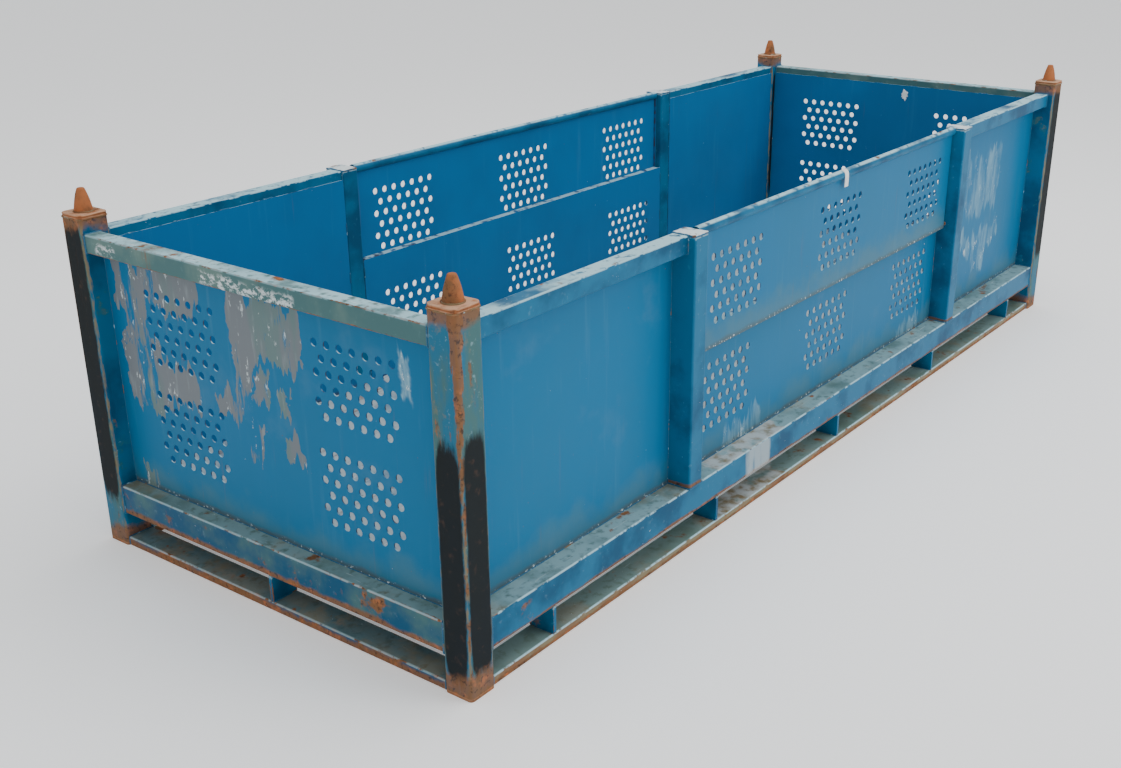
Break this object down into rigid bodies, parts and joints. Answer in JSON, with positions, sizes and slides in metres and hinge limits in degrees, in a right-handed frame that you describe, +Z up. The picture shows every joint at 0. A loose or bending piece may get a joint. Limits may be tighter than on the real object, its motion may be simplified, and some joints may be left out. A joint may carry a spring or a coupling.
{
  "type": "stacking container with drop gates",
  "caption": "Long open-top steel stacking container with perforated sheet sides, corner posts with stacking cones, fork openings and a drop gate in each long side.",
  "frame": {"origin": "middle of the footprint at floor level", "axes": "+Z up, +X along the length, +Y to the back long side"},
  "size_m": [3.47, 1.308, 0.962],
  "materials": {
    "post_paint": "worn, rust at the edges",
    "cap_steel": "paint worn off, brown rust",
    "rail_paint": "satin, rubbed pale on the top faces",
    "sheet_paint": "satin, scuffed",
    "runner_paint": "rusty, paint left inside",
    "pin_steel": "bare, worn"
  },
  "bodies": {
    "frame": {"corner_post_front_left": "post_paint", "foot_plate_front_left": "cap_steel", "post_cap_front_left": "cap_steel", "stacking_cone_front_left": "cap_steel", "side_top_rail_front_left": "rail_paint", "bay_panel_front_left": "sheet_paint", "mid_post_front_left": "post_paint", "mid_post_cap_front_left": "cap_steel", "corner_post_front_right": "post_paint", "foot_plate_front_right": "cap_steel", "post_cap_front_right": "cap_steel", "stacking_cone_front_right": "cap_steel", "side_top_rail_front_right": "rail_paint", "bay_panel_front_right": "sheet_paint", "mid_post_front_right": "post_paint", "mid_post_cap_front_right": "cap_steel", "corner_post_back_left": "post_paint", "foot_plate_back_left": "cap_steel", "post_cap_back_left": "cap_steel", "stacking_cone_back_left": "cap_steel", "side_top_rail_back_left": "rail_paint", "bay_panel_back_left": "sheet_paint", "mid_post_back_left": "post_paint", "mid_post_cap_back_left": "cap_steel", "corner_post_back_right": "post_paint", "foot_plate_back_right": "cap_steel", "post_cap_back_right": "cap_steel", "stacking_cone_back_right": "cap_steel", "side_top_rail_back_right": "rail_paint", "bay_panel_back_right": "sheet_paint", "mid_post_back_right": "post_paint", "mid_post_cap_back_right": "cap_steel", "side_bottom_rail_front": "rail_paint", "side_runner_front": "runner_paint", "side_spacers_front": "runner_paint", "lower_side_panel_front": "sheet_paint", "side_bottom_rail_back": "rail_paint", "side_runner_back": "runner_paint", "side_spacers_back": "runner_paint", "lower_side_panel_back": "sheet_paint", "end_bottom_rail_left": "rail_paint", "end_runner_left": "runner_paint", "end_spacer_left": "runner_paint", "end_top_rail_left": "rail_paint", "end_panel_left": "sheet_paint", "end_bottom_rail_right": "rail_paint", "end_runner_right": "runner_paint", "end_spacer_right": "runner_paint", "end_top_rail_right": "rail_paint", "end_panel_right": "sheet_paint", "floor_sheet": "sheet_paint", "floor_cross_members": "rail_paint"},
    "front_gate": {"gate_panel_front": "sheet_paint", "gate_top_tube_front": "rail_paint", "gate_hinge_pins_front": "pin_steel"},
    "back_gate": {"gate_panel_back": "sheet_paint", "gate_top_tube_back": "rail_paint", "gate_hinge_pins_back": "pin_steel"}
  },
  "joints": [
    {"name": "front_gate_hinge", "type": "hinge", "parent": "frame", "child": "front_gate", "pos_m": [0, -0.6055, 0.53], "axis": [1, 0, 0], "range_deg": [0, 180]},
    {"name": "back_gate_hinge", "type": "hinge", "parent": "frame", "child": "back_gate", "pos_m": [0, 0.6055, 0.53], "axis": [-1, 0, 0], "range_deg": [0, 180]}
  ]
}
